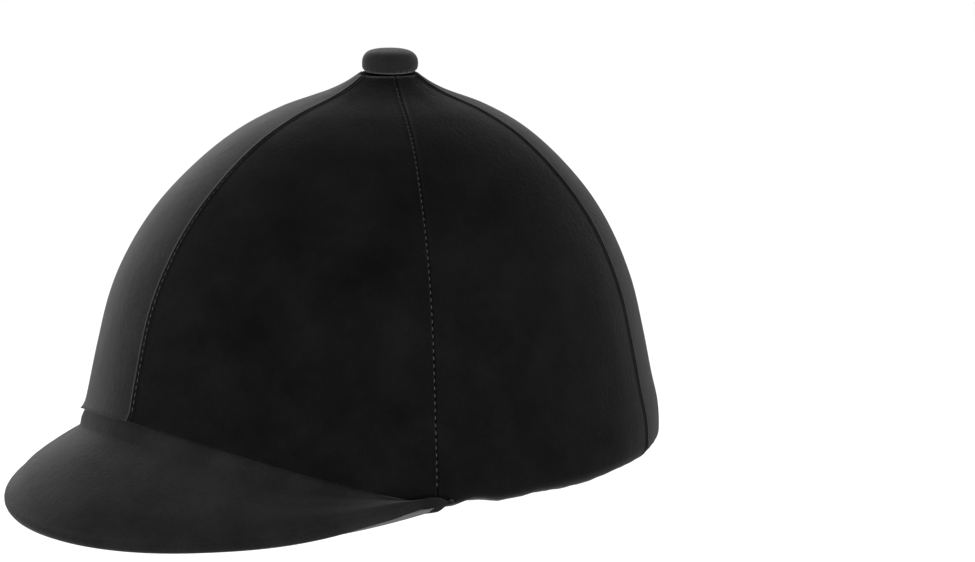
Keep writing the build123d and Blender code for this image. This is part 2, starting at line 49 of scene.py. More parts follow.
# ---------------------------------------------------------------- the CAD's sizes, in millimetres
# The crown's side view: height above the rim, half of its length there.
CROWN = [
    (-14, 136.0), (0, 137.4), (15, 136.8), (30, 133.2), (50, 128.7), (72, 122.8), (92, 113.8),
    (110, 101.8), (126, 86.0), (139, 68.0), (149, 48.0), (156, 29.0), (160.5, 20.0), (165, 13.6),
]
WIDTH_RATIO = 0.85
FORWARD_RATIO = 0.069
FORWARD_MOST = 8.3
SEAM_ANGLES = [0, 59.5, 125, 180]    # degrees from straight ahead, on both sides
VELVET = 1.5
COVER_TOP = 165.0
PANEL_FOOT = 4.0
TURN_UNDER = [(2.6, 136.9), (0.8, 135.6), (-0.9, 133.2), (-2.0, 130.2)]
PEAK_HALF_ANGLE = 58.8
PEAK_FADE_ANGLE = 62.6
PEAK_SEAM_HEIGHT = 28.0
PEAK_SEAM_FALL = 1.6
PEAK_SEAM_REACH = 63.0
PEAK_STAND = 8.0
PEAK_PLAN = (126.0, 109.0, 60.0)    # the edge's ellipse: half-length, half-width, centre ahead of the button
PEAK_EDGE = 5.5
PEAK_EDGE_FOOT = -1.0
PEAK_UNDER_ROOT = -2.2
PEAK_DROOP = 14.0
PEAK_END_WIDTH = 5.0
BUTTON_FOOT = 166.0
RIBBON = 15.0
RIBBON_THICKNESS = 0.42
TAIL_TOPS = {"left": 54.0, "right": 48.0}
TAIL_FOOT = 8.1
TAIL_LEAN = 6.5
TAIL_NOTCH = 11.0
LOOP_REACH = 43.0
SHELL_TO_PADS = 26.0        # from the cover's outside to the back of the pads
PAD = 8.5
CROWN_PAD_FORWARD = 4.0
WEBBING = 15.0
WEBBING_THICKNESS = 1.4
WEBBING_COLUMNS = 11
SHELL_INNER = 5.1           # from the cover's outside to the shell's inner face
ANCHOR_HEIGHT = 25.0
STRAP_MIDDLE = -9.5
ANCHOR_SPREAD = 42.0
SWING_X = 79.5
SWING_Z = 12.0
STOW_TILT = 14.0
STRAP_LENGTH = 61.0


# ---------------------------------------------------------------- curves
def hermite(knots, values, at):
    """A smooth curve through values at rising knots."""
    i = min(max(bisect.bisect_right(knots, at) - 1, 0), len(knots) - 2)
    slopes = []
    for k in (i, i + 1):
        low = max(k - 1, 0)
        high = min(k + 1, len(knots) - 1)
        rise = zip(values[low], values[high])
        slopes.append([(q - p) / (knots[high] - knots[low]) for p, q in rise])
    span = knots[i + 1] - knots[i]
    t = (at - knots[i]) / span
    a = 2 * t ** 3 - 3 * t ** 2 + 1
    b = t ** 3 - 2 * t ** 2 + t
    c = 3 * t ** 2 - 2 * t ** 3
    d = t ** 3 - t ** 2
    return tuple(a * p + b * span * m + c * q + d * span * n
                 for p, q, m, n in zip(values[i], values[i + 1], slopes[0], slopes[1]))


def chord_knots(points):
    """How far along a run of points each one is."""
    knots = [0.0]
    for p, q in zip(points, points[1:]):
        knots.append(knots[-1] + math.dist(p, q))
    return knots


def smooth(points, count):
    """So many points along a smooth curve through points."""
    knots = chord_knots(points)
    return [hermite(knots, points, knots[-1] * i / (count - 1)) for i in range(count)]


def ease(t):
    """From 0 to 1 with a soft start and end."""
    t = min(max(t, 0.0), 1.0)
    return t * t * (3 - 2 * t)


def wobble(x, y=0.0, z=0.0):
    """Smooth noise from about -1 to 1."""
    return noise.noise(Vector((x, y, z)))


# ---------------------------------------------------------------- the crown's surface
CROWN_HEIGHTS = [z for z, _ in CROWN]
CROWN_HALVES = [(a,) for _, a in CROWN]


def half_length(z):
    return hermite(CROWN_HEIGHTS, CROWN_HALVES, z)[0]


def ellipse_reach(a, b, forward, angle):
    """Distance from the button axis to an ellipse, at an angle from straight ahead."""
    ahead = math.cos(math.radians(angle))
    aside = math.sin(math.radians(angle))
    square = (ahead / a) ** 2 + (aside / b) ** 2
    linear = -2 * forward * ahead / a ** 2
    constant = (forward / a) ** 2 - 1
    return (-linear + math.sqrt(linear ** 2 - 4 * square * constant)) / (2 * square)


def level_reach(a, angle):
    return ellipse_reach(a, a * WIDTH_RATIO, min(a * FORWARD_RATIO, FORWARD_MOST), angle)


def spoke(angle, radius, z):
    """A point in metres at an angle from straight ahead, positive to the wearer's left."""
    turn = math.radians(angle)
    return Vector((radius * math.sin(turn), -radius * math.cos(turn), z)) * MM


# The cover's side view from the button down, then turned under at the hem: height, half-length.
SIDE_STEPS = 700
side_heights = [COVER_TOP - (COVER_TOP - PANEL_FOOT) * i / SIDE_STEPS for i in range(SIDE_STEPS + 1)]
side_line = [(z, half_length(z)) for z in side_heights] + TURN_UNDER
SIDE_KNOTS = chord_knots(side_line)
SIDE_LENGTH = SIDE_KNOTS[-1]


def side_at(length):
    """Height and half-length so far down the side view."""
    return hermite(SIDE_KNOTS, side_line, min(max(length, 0.0), SIDE_LENGTH))


def side_length_at(z):
    """How far down the side view a height above the hem is."""
    share = (COVER_TOP - z) / (COVER_TOP - PANEL_FOOT) * SIDE_STEPS
    return SIDE_KNOTS[min(max(int(round(share)), 0), SIDE_STEPS)]


def seam_height(angle):
    """Height of the seam between crown and peak."""
    return PEAK_SEAM_HEIGHT * max(1 - (angle / PEAK_SEAM_REACH) ** 2, 0.0) ** PEAK_SEAM_FALL


# ---------------------------------------------------------------- mesh building
def make_object(name, points, faces):
    mesh = bpy.data.meshes.new(name)
    mesh.from_pydata([tuple(p) for p in points], [], faces)
    mesh.validate()
    mesh.polygons.foreach_set("use_smooth", [True] * len(mesh.polygons))
    mesh.update()
    obj = bpy.data.objects.new(name, mesh)
    bpy.context.scene.collection.objects.link(obj)
    return obj


def grid_normals(grid, wrap=False):
    """Unit normals of a grid of points, from its neighbours."""
    rows, columns = len(grid), len(grid[0])
    normals = []
    for j in range(rows):
        line = []
        for i in range(columns):
            left = grid[j][i - 1] if i or wrap else grid[j][i]
            right = grid[j][(i + 1) % columns] if i + 1 < columns or wrap else grid[j][i]
            up = grid[max(j - 1, 0)][i]
            down = grid[min(j + 1, rows - 1)][i]
            line.append((down - up).cross(right - left).normalized())
        normals.append(line)
    return normals


def offset_grid(grid, normals, lifts):
    """A grid moved along its normals by lifts in millimetres."""
    return [[p + n * (lift * MM) for p, n, lift in zip(*line)] for line in zip(grid, normals, lifts)]


def sunk_grid(grid, normals, depth):
    """A grid moved inwards by one depth in millimetres."""
    return offset_grid(grid, normals, [[-depth] * len(line) for line in grid])


def sheet_object(name, front, back, wrap=False):
    """A closed thin solid between two grids of points."""
    rows, columns = len(front), len(front[0])
    points = [p for line in front for p in line] + [p for line in back for p in line]
    shift = rows * columns
    faces = []
    across = columns if wrap else columns - 1
    for j in range(rows - 1):
        for i in range(across):
            a, b = j * columns + i, j * columns + (i + 1) % columns
            c, d = b + columns, a + columns
            faces.append((a, d, c, b))
            faces.append((a + shift, b + shift, c + shift, d + shift))
    for i in range(across):
        for j, flip in ((0, True), (rows - 1, False)):
            a, b = j * columns + i, j * columns + (i + 1) % columns
            quad = (a, b, b + shift, a + shift)
            faces.append(quad if flip else quad[::-1])
    if not wrap:
        for j in range(rows - 1):
            for i, flip in ((0, False), (columns - 1, True)):
                a, b = j * columns + i, (j + 1) * columns + i
                quad = (a, b, b + shift, a + shift)
                faces.append(quad if flip else quad[::-1])
    return make_object(name, points, faces)


def tube_object(name, rings, close_rings=False):
    """A solid whose cross sections are rings of points; its ends are capped, or joined up."""
    count, size = len(rings), len(rings[0])
    points = [p for ring in rings for p in ring]
    faces = []
    for j in range(count if close_rings else count - 1):
        for i in range(size):
            a, b = j * size + i, j * size + (i + 1) % size
            c = ((j + 1) % count) * size + (i + 1) % size
            d = ((j + 1) % count) * size + i
            faces.append((a, b, c, d))
    if not close_rings:
        faces.append(tuple(range(size))[::-1])
        faces.append(tuple(range((count - 1) * size, count * size)))
    return make_object(name, points, faces)


def outward(obj):
    """Turn every face of a closed mesh outwards."""
    work = bmesh.new()
    work.from_mesh(obj.data)
    bmesh.ops.recalc_face_normals(work, faces=work.faces)
    work.to_mesh(obj.data)
    work.free()
    return obj


# ---------------------------------------------------------------- materials
def new_material(name):
    material = bpy.data.materials.new(name)
    material.use_nodes = True
    tree = material.node_tree
    return material, tree.nodes, tree.links, tree.nodes["Principled BSDF"]


def noise_node(nodes, links, coords, scale, detail=4.0, roughness=0.6):
    node = nodes.new("ShaderNodeTexNoise")
    node.inputs["Scale"].default_value = scale
    node.inputs["Detail"].default_value = detail
    node.inputs["Roughness"].default_value = roughness
    links.new(coords, node.inputs["Vector"])
    return node


def ramp_node(nodes, links, factor, stops):
    node = nodes.new("ShaderNodeValToRGB")
    elements = node.color_ramp.elements
    for element, (place, colour) in zip(elements, (stops[0], stops[-1])):
        element.position = place
        element.color = (*colour, 1)
    for place, colour in stops[1:-1]:
        elements.new(place).color = (*colour, 1)
    links.new(factor, node.inputs["Fac"])
    return node


def grey(level):
    return (level, level, level)


def bump_chain(nodes, links, shader, layers):
    """Bump from several height sources, each with a strength and a depth in metres."""
    last = None
    for height, strength, distance in layers:
        bump = nodes.new("ShaderNodeBump")
        bump.inputs["Strength"].default_value = strength
        bump.inputs["Distance"].default_value = distance
        links.new(height, bump.inputs["Height"])
        if last is not None:
            links.new(last.outputs["Normal"], bump.inputs["Normal"])
        last = bump
    links.new(last.outputs["Normal"], shader.inputs["Normal"])


def object_coords(nodes, source="Object"):
    return nodes.new("ShaderNodeTexCoord").outputs[source]


def multiply_node(nodes, links, first, second):
    node = nodes.new("ShaderNodeMix")
    node.data_type = "RGBA"
    node.blend_type = "MULTIPLY"
    node.inputs["Factor"].default_value = 1.0
    links.new(first, node.inputs["A"])
    links.new(second, node.inputs["B"])
    return node


def velvet_material(name, low, high, sheen, sheen_roughness):
    """Short dense pile: nearly black face on, lighter where it is seen along its slope."""
    material, nodes, links, shader = new_material(name)
    coords = object_coords(nodes)
    brushed = noise_node(nodes, links, coords, 38.0, 6.0, 0.62)
    pile = noise_node(nodes, links, coords, 1900.0, 3.0, 0.7)
    tufts = noise_node(nodes, links, coords, 520.0, 4.0, 0.65)
    colour = ramp_node(nodes, links, brushed.outputs["Fac"], [(0.3, grey(low)), (0.72, grey(high))])
    speck = ramp_node(nodes, links, pile.outputs["Fac"], [(0.35, grey(0.55)), (0.75, grey(1.35))])
    blend = multiply_node(nodes, links, colour.outputs["Color"], speck.outputs["Color"])
    links.new(blend.outputs["Result"], shader.inputs["Base Color"])
    rough = ramp_node(nodes, links, brushed.outputs["Fac"], [(0.3, grey(0.98)), (0.75, grey(0.84))])
    links.new(rough.outputs["Color"], shader.inputs["Roughness"])
    shader.inputs["Specular IOR Level"].default_value = 0.03
    shader.inputs["Sheen Weight"].default_value = sheen
    shader.inputs["Sheen Roughness"].default_value = sheen_roughness
    shader.inputs["Sheen Tint"].default_value = (1, 1, 1, 1)
    bump_chain(nodes, links, shader, [
        (tufts.outputs["Fac"], 0.35, 0.0006), (pile.outputs["Fac"], 0.6, 0.0003),
        (brushed.outputs["Fac"], 0.10, 0.004),
    ])
    return material


def woven_material(name, base, across, along, roughness, rib_depth, sheen=0.0, anisotropic=0.0,
                   source="UV", specular=0.4):
    """Cloth with ribs across and threads along it, from a UV map in metres or the object's own places;
    painted shade darkens the low bands of the threads.
    """
    material, nodes, links, shader = new_material(name)
    coords = object_coords(nodes, source)
    heights = []
    for direction, scale in (("X", across), ("Y", along)):
        wave = nodes.new("ShaderNodeTexWave")
        wave.wave_type = "BANDS"
        wave.bands_direction = direction
        wave.inputs["Scale"].default_value = scale
        wave.inputs["Distortion"].default_value = 0.6
        wave.inputs["Detail"].default_value = 1.0
        wave.inputs["Detail Scale"].default_value = 3.0
        links.new(coords, wave.inputs["Vector"])
        heights.append(wave)
    mottle = noise_node(nodes, links, object_coords(nodes), 160.0, 5.0)
    colour = ramp_node(nodes, links, mottle.outputs["Fac"],
                       [(0.3, grey(base * 0.6)), (0.75, grey(base * 1.5))])
    # Base colour darker where the thread bands are low: painted shade in the grooves of the weave.
    thread = ramp_node(nodes, links, heights[1].outputs["Fac"], [(0.0, grey(0.6)), (0.6, grey(1.15))])
    blend = multiply_node(nodes, links, colour.outputs["Color"], thread.outputs["Color"])
    links.new(blend.outputs["Result"], shader.inputs["Base Color"])
    rough = ramp_node(nodes, links, mottle.outputs["Fac"],
                      [(0.3, grey(roughness * 0.9)), (0.7, grey(min(1.0, roughness * 1.12)))])
    links.new(rough.outputs["Color"], shader.inputs["Roughness"])
    shader.inputs["Sheen Weight"].default_value = sheen
    shader.inputs["Anisotropic"].default_value = anisotropic
    shader.inputs["Specular IOR Level"].default_value = specular
    bump_chain(nodes, links, shader, [(heights[1].outputs["Fac"], 0.5, rib_depth),
                                      (heights[0].outputs["Fac"], 0.35, rib_depth * 0.6)])
    return material


def moulded_material(name, base, roughness, grain, grain_depth, scratches=True, coat=0.0,
                     metallic=0.0, specular=0.5):
    """Moulded plastic, rubber or metal with a fine grain and worn patches."""
    material, nodes, links, shader = new_material(name)
    coords = object_coords(nodes)
    fine = noise_node(nodes, links, coords, grain, 3.0)
    broad = noise_node(nodes, links, coords, 55.0, 6.0, 0.65)
    colour = ramp_node(nodes, links, broad.outputs["Fac"],
                       [(0.3, grey(base * 0.8)), (0.75, grey(base * 1.25))])
    links.new(colour.outputs["Color"], shader.inputs["Base Color"])
    rough = ramp_node(nodes, links, broad.outputs["Fac"],
                      [(0.35, grey(roughness)), (0.7, grey(min(1.0, roughness + 0.14)))])
    links.new(rough.outputs["Color"], shader.inputs["Roughness"])
    shader.inputs["Metallic"].default_value = metallic
    shader.inputs["Coat Weight"].default_value = coat
    shader.inputs["Specular IOR Level"].default_value = specular
    layers = [(fine.outputs["Fac"], 0.35, grain_depth)]
    if scratches:
        worn = noise_node(nodes, links, coords, 240.0, 8.0, 0.75)
        layers.append((worn.outputs["Fac"], 0.08, 0.0004))
    bump_chain(nodes, links, shader, layers)
    return material


def foam_material(name, base):
    """Fused foam beads: rounded cells with painted shade in the creases between them and a painted highlight
    on their middles.
    """
    material, nodes, links, shader = new_material(name)
    coords = object_coords(nodes)
    cells = nodes.new("ShaderNodeTexVoronoi")
    cells.inputs["Scale"].default_value = 330.0
    links.new(coords, cells.inputs["Vector"])
    # Colour lighter at the bead middles and darker at the creases: painted highlight and painted shade.
    bead_shade_and_highlight = ramp_node(nodes, links, cells.outputs["Distance"],
                     [(0.0, grey(base * 1.35)), (0.75, grey(base * 0.5))])
    links.new(bead_shade_and_highlight.outputs["Color"], shader.inputs["Base Color"])
    dome = ramp_node(nodes, links, cells.outputs["Distance"], [(0.0, grey(1.0)), (0.8, grey(0.0))])
    patches = noise_node(nodes, links, coords, 90.0, 4.0)
    rough = ramp_node(nodes, links, patches.outputs["Fac"], [(0.3, grey(0.62)), (0.7, grey(0.85))])
    links.new(rough.outputs["Color"], shader.inputs["Roughness"])
    bump_chain(nodes, links, shader, [
        (dome.outputs["Color"], 0.5, 0.0007), (patches.outputs["Fac"], 0.1, 0.001),
    ])
    return material


MATERIALS = {
    "velvet": velvet_material("velvet", 0.0017, 0.0040, 0.10, 0.30),
    # Lighter copies of the same velvet, with a paler base colour and more sheen: painted light for the gores,
    # peak and button that look brighter under the lamps.
    "velvet_lit_copy": velvet_material("velvet_lit_copy", 0.0040, 0.0085, 0.17, 0.38),
    "velvet_rear_lit_copy": velvet_material("velvet_rear_lit_copy", 0.0034, 0.0070, 0.115, 0.36),
    "velvet_peak_lit_copy": velvet_material("velvet_peak_lit_copy", 0.0052, 0.0110, 0.13, 0.36),
    "button_velvet_lit_copy": velvet_material("button_velvet_lit_copy", 0.0075, 0.0150, 0.20, 0.38),
    "satin": woven_material("satin", 0.0045, 2600.0, 900.0, 0.36, 0.00012,
                            anisotropic=0.65, specular=0.22),
    "thread": moulded_material("thread", 0.028, 0.55, 3000.0, 0.0001,
                               scratches=False, specular=0.25),
    "webbing": woven_material("webbing", 0.016, 520.0, 640.0, 0.62, 0.0005, sheen=0.1),
    "padding": woven_material("padding", 0.022, 1400.0, 1300.0, 0.9, 0.0002, sheen=0.35, source="Object"),
    "shell": moulded_material("shell", 0.018, 0.28, 2400.0, 0.0001, coat=0.35),
    "trim": moulded_material("trim", 0.016, 0.72, 1800.0, 0.0003),
    "liner_foam": foam_material("liner_foam", 0.03),
    "fittings": moulded_material("fittings", 0.022, 0.5, 2600.0, 0.0003),
    "rivet_metal": moulded_material("rivet_metal", 0.5, 0.32, 1500.0, 0.0001, metallic=1.0),
    "peak_board": moulded_material("peak_board", 0.045, 0.8, 900.0, 0.0005),
    "button_plastic": moulded_material("button_plastic", 0.035, 0.5, 1600.0, 0.0003),
}


def finish_piece(obj, body, slot, material=None, *nodes):
    """Give a piece its material and its body, and hide the CAD nodes it stands for.

    Without a material it takes the one of its slot's name; without a body it stays where it is.
    """
    obj.data.materials.clear()
    obj.data.materials.append(MATERIALS[material or slot])
    if body:
        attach(obj, body)
    if nodes:
        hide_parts(*nodes)


# ---------------------------------------------------------------- cover: velvet panels
EDGE_STEPS = [0.14, 0.35, 0.6, 0.85, 1.1, 1.45, 1.9, 2.5, 3.4, 5.0, 7.5]
PANEL_MIDDLES = 26
PANEL_ROWS = 120
FULL_STEPS_WIDTH = 26.0     # a panel narrower than this has its edge steps scaled down
SHOULDER = (1.7, 148.0, 18.0)   # extra stand of the cloth, at which height, over what spread


def seam_lift(distance):
    """Height of the pile beside a seam: a fine ridge that dips into the stitched groove."""
    ridge = 0.42 * math.exp(-((distance - 0.95) / 0.75) ** 2)
    groove = 0.75 * math.exp(-(distance / 0.38) ** 2)
    return ridge - groove - 0.28 * math.exp(-distance / 9.0)


def shoulder(z):
    """How much fuller the cloth stands over the crown's shoulders than the shell under it."""
    most, height, spread = SHOULDER
    return most * math.exp(-((z - height) / spread) ** 2)


def panel_columns(width):
    """Distances across a panel, packed close to both of its seams."""
    scale = min(1.0, width / FULL_STEPS_WIDTH)
    near = [e * scale for e in EDGE_STEPS]
    left, right = near[-1], width - near[-1]
    middle = [left + (right - left) * (i + 1) / (PANEL_MIDDLES + 1) for i in range(PANEL_MIDDLES)]
    return near + middle + [width - d for d in reversed(near)]


def hem_wave(angle):
    """Unevenness of the gathered hem around the hat, from about -1 to 1."""
    return 0.6 * wobble(angle * 0.21, 3.1) + 0.4 * wobble(angle * 0.47, 8.7)


# Where the gathers pull the hem up most: angle, half-spread in degrees, height.
HEM_NOTCHES = [
    (68.0, 3.0, 3.2), (-68.0, 3.0, 2.6), (84.0, 5.0, 0.9), (-81.0, 5.0, 1.0), (112.0, 6.0, 0.8),
    (-117.0, 6.0, 0.9),
]


def hem_rise(angle):
    """How far the gathers pull the hem up at an angle."""
    angle = (angle + 180) % 360 - 180
    rise = 0.4 * hem_wave(angle) - 0.6
    for place, width, height in HEM_NOTCHES:
        rise += height * math.exp(-((angle - place) / width) ** 2)
    return rise


def crown_grid(start, end, has_peak):
    """Points down a panel from the button, and how far its cloth stands off at each."""
    grid, lifts = [], []
    side = 1 if start + end > 0 else -1
    for j in range(PANEL_ROWS):
        share = j / (PANEL_ROWS - 1)
        share += 0.10 * math.sin(math.pi * share) * share
        line, raised = [], []
        nominal = side_at(SIDE_LENGTH * share)
        middle_reach = level_reach(nominal[1], (start + end) / 2)
        width = middle_reach * math.radians(end - start)
        for x in panel_columns(width):
            angle = start + (end - start) * x / width
            low = SIDE_LENGTH
            if has_peak:
                low = side_length_at(max(seam_height(angle), 1.0) + 0.1)
            length = low * share
            z, a = side_at(length)
            from_foot = low - length
            distance = min(x, width - x)
            lift = seam_lift(distance)
            radius = level_reach(a, angle)
            if has_peak:
                roll = math.exp(-from_foot / 2.4)
                lift += 1.1 * roll * ease((58.0 - abs(angle)) / 14.0) * math.cos(from_foot / 2.2)
            else:
                gather = math.exp(-from_foot / 7.0)
                z += hem_rise(angle) * gather
                lift += 0.55 * gather * hem_wave(angle * 1.7 + 40 * side)
            line.append(spoke(angle, radius, z))
            raised.append(lift + shoulder(z) + 0.10 * wobble(angle * 0.06, z * 0.02, 5.0))
        grid.append(line)
        lifts.append(raised)
    return grid, lifts


# Flat cut of each gore before it is stretched over the shell: width, length and area.
PANEL_CUTS = {
    "front": (0.132, 0.205, 0.0184), "side": (0.131, 0.216, 0.0192), "rear": (0.118, 0.216, 0.0173),
}
# These gores take lighter copies of the same velvet, with a paler base colour and more sheen: painted light
# for the panels that look brighter than the ones between.
LIT_PANEL_COPIES = {"front_right": "velvet_lit_copy", "side_right": "velvet_lit_copy", "rear_left": "velvet_rear_lit_copy"}

for order, name in enumerate(("front", "side", "rear")):
    for side, hand in ((1, "left"), (-1, "right")):
        ends = sorted((side * SEAM_ANGLES[order], side * SEAM_ANGLES[order + 1]))
        grid, lifts = crown_grid(ends[0], ends[1], name == "front")
        normals = grid_normals(grid)
        front = offset_grid(grid, normals, lifts)
        back = sunk_grid(grid, normals, VELVET)
        panel = outward(sheet_object(f"velvet_{name}_{hand}", front, back))
        # The gores listed above get a lighter copy of the velvet: painted light.
        panel_velvet_copy = LIT_PANEL_COPIES.get(f"{name}_{hand}", "velvet")
        finish_piece(panel, "cover", "velvet", panel_velvet_copy, f"panel_{name}_{hand}")
        width, length, area = PANEL_CUTS[name]

# ---------------------------------------------------------------- cover: seam stitches
STITCH_PITCH = 3.1
STITCH = (1.7, 0.5, 0.42)   # length, width, height
STITCH_MARGIN = 9.0         # bare seam at its top and at the hem
STITCH_SIDES = 6
STITCH_SINK = 0.42


def stitch_mesh(points, faces, centre, along, up):
    """Add one short rounded thread to lists of points and faces."""
    length, width, height = (s * MM / 2 for s in STITCH)
    across = along.cross(up)
    base = len(points)
    for reach, size in ((-1.0, 0.25), (-0.55, 0.9), (0.55, 0.9), (1.0, 0.25)):
        for turn in range(STITCH_SIDES):
            t = turn * math.pi / 3
            points.append(centre + along * (reach * length) + across * (math.cos(t) * width * size)
                          + up * (math.sin(t) * height * size))
    for ring in range(3):
        for turn in range(STITCH_SIDES):
            a = base + ring * STITCH_SIDES + turn
            b = base + ring * STITCH_SIDES + (turn + 1) % STITCH_SIDES
            faces.append((a, b, b + STITCH_SIDES, a + STITCH_SIDES))
    faces.append(tuple(base + turn for turn in range(STITCH_SIDES))[::-1])
    faces.append(tuple(base + 3 * STITCH_SIDES + turn for turn in range(STITCH_SIDES)))


stitch_points, stitch_faces = [], []
for seam in (0, 59.5, -59.5, 125, -125, 180):
    low = side_length_at(seam_height(seam) + 1.5) if seam == 0 else SIDE_LENGTH - STITCH_MARGIN
    for k in range(int((low - STITCH_MARGIN) / STITCH_PITCH)):
        length = STITCH_MARGIN + k * STITCH_PITCH
        (z, a), (z_next, a_next) = side_at(length), side_at(length + 1.0)
        here = spoke(seam, level_reach(a, seam), z)
        along = (spoke(seam, level_reach(a_next, seam), z_next) - here).normalized()
        aside = (spoke(seam + 0.5, level_reach(a, seam + 0.5), z) - here).normalized()
        up = aside.cross(along).normalized()
        if up.dot(here) < 0:
            up = -up
        centre = here + up * ((shoulder(z) - STITCH_SINK) * MM)
        stitch_mesh(stitch_points, stitch_faces, centre, along, up)
stitches = outward(make_object("seam_stitches", stitch_points, stitch_faces))
finish_piece(stitches, "cover", "satin", "thread")

# ---------------------------------------------------------------- cover: gathered hem and elastic
# Cross section of the casing: half-length, height above the rim.
HEM_RING = [
    (134.9, 3.0), (134.6, 1.0), (132.6, -0.8), (129.4, -2.1), (125.6, -2.4), (122.3, -1.9), (120.9, -0.6),
    (121.0, 1.0), (122.4, 2.3), (126.0, 2.9), (131.0, 3.0),
]
HEM_COUNT = 720
HEM_OUTSIDE = 133.5         # half-length where the casing starts to turn inwards
HEM_PLEATS = 62
PEAK_HEM_ANGLE = 60.0       # nearer the front than this, the peak holds the hem level
hem_profile = smooth(HEM_RING + HEM_RING[:1], 34)[:-1]
rings = []
for k in range(HEM_COUNT):
    angle = k * 360.0 / HEM_COUNT
    phase = angle + 1.6 * wobble(angle * 0.09, 1.7)
    pleat = math.sin(math.radians(phase * HEM_PLEATS))
    uneven = 0.55 + 0.45 * wobble(angle * 0.3, 6.1)
    turned = ((angle + 180) % 360) - 180
    ring = []
    for a, z in hem_profile:
        depth = 0.75 * ease((HEM_OUTSIDE - a) / 10.0) * pleat * uneven
        lift = 0.0
        if abs(turned) > PEAK_HEM_ANGLE:
            lift = hem_rise(turned) * (1 - ease((HEM_OUTSIDE - a) / 14.0))
        height = z + lift * 0.8 + depth * (0.6 if z < 0 else 0.2)
        ring.append(spoke(angle, level_reach(a - depth * 0.7, angle), height))
    rings.append(ring)
hem = outward(tube_object("gathered_hem", rings, close_rings=True))
finish_piece(hem, "cover", "velvet", "velvet", "hem_casing")


# ---------------------------------------------------------------- cover: peak
SIDE_RISE = (2.4, 50.0, 9.0)    # how far the edge is raised at its sides, at which angle, over what spread
PEAK_END = (0.3, 1.2)           # where the peak fades out: beyond the crown, height
PEAK_COLUMNS = 190
PEAK_ROWS = 60
PEAK_CLOTH = 1.3


def edge_foot(angle):
    """Height of the peak's lower edge, which droops most at the front."""
    return PEAK_EDGE_FOOT - PEAK_DROOP * math.cos(math.radians(angle * 90 / PEAK_SEAM_REACH))


def faded(outline, fade, moved, centre):
    """An outline shrunk towards a centre and moved outwards."""
    out, up = centre
    return [(out + (r - out) * fade + moved, up + (z - up) * fade) for r, z in outline]


def peak_profiles(angle):
    """Outline of the peak at an angle: its top from the seam to under the edge, and its underside."""
    held = max(min(angle, PEAK_HALF_ANGLE), -PEAK_HALF_ANGLE)
    top = max(seam_height(held), 2.2)
    crown = level_reach(half_length(top), held)
    root = crown + 0.1
    reach = max(ellipse_reach(*PEAK_PLAN, held),
                level_reach(half_length(0), held) + PEAK_END_WIDTH)
    width = reach - root
    most, place, spread = SIDE_RISE
    foot = edge_foot(held) + most * math.exp(-((abs(held) - place) / spread) ** 2)
    edge = foot + PEAK_EDGE
    fall = top - edge
    stand = min(PEAK_STAND, 0.35 * fall)
    drop = fall - stand
    tight = min(1.0, width / 22.0)
    upper = [
        (root - 0.9, top - 0.3),
        (root + 0.5, top - 0.45 * stand),
        (root + 1.2 + 0.02 * width, top - stand),
        (root + 0.36 * width, top - stand - 0.31 * drop + 0.9 * (1 - tight)),
        (root + 0.72 * width, top - stand - 0.66 * drop + 1.4 * (1 - tight)),
        (root + width - 2.0 * tight, edge - 0.1),
        (root + width - 0.2, edge - 1.5),
        (root + width + 0.1, edge - 3.2),
        (root + width - 1.1 * tight, foot + 0.5),
        (root + width - 3.0 * tight, foot + 0.05),
    ]
    under_root = level_reach(half_length(PANEL_FOOT), held) + 0.6
    tip = reach - 3.0
    middle = (PEAK_UNDER_ROOT + foot) / 2 + 0.04 * (tip - under_root)
    lower = [(under_root, PEAK_UNDER_ROOT), ((under_root + tip) / 2, middle), (tip, foot)]
    fade = 0.05 + 0.95 * ease((PEAK_FADE_ANGLE - abs(angle)) / (PEAK_FADE_ANGLE - PEAK_HALF_ANGLE))
    if fade < 1:
        rim = level_reach(half_length(2.0), held)
        moved = level_reach(half_length(2.0), angle) - rim
        centre = (rim + PEAK_END[0], PEAK_END[1])
        upper = faded(upper, fade, moved, centre)
        lower = faded(lower, fade, moved, centre)
    return upper, lower


top_grid = [[] for _ in range(PEAK_ROWS + 1)]
under_grid = [[] for _ in range(PEAK_ROWS + 1)]
for k in range(PEAK_COLUMNS + 1):
    angle = -PEAK_FADE_ANGLE + 2 * PEAK_FADE_ANGLE * k / PEAK_COLUMNS
    upper, lower = peak_profiles(angle)
    for j, (r, z) in enumerate(smooth(upper, PEAK_ROWS + 1)):
        soft = 0.25 * wobble(angle * 0.07, j * 0.06, 2.0)
        top_grid[j].append(spoke(angle, r, z + soft))
    for j, (r, z) in enumerate(smooth(lower, PEAK_ROWS + 1)):
        under_grid[j].append(spoke(angle, r, z + 0.2 * wobble(angle * 0.08, j * 0.08, 7.0)))
# Both peak faces take a lighter copy of the velvet: painted light for their brighter lit faces.
for name, grid, node, depth in (("peak_top", top_grid, "peak_top_velvet", PEAK_CLOTH),
                                ("peak_underside", under_grid, "peak_under_velvet", -PEAK_CLOTH)):
    piece = outward(sheet_object(name, grid, sunk_grid(grid, grid_normals(grid), depth)))
    finish_piece(piece, "cover", "velvet", "velvet_peak_lit_copy", node)

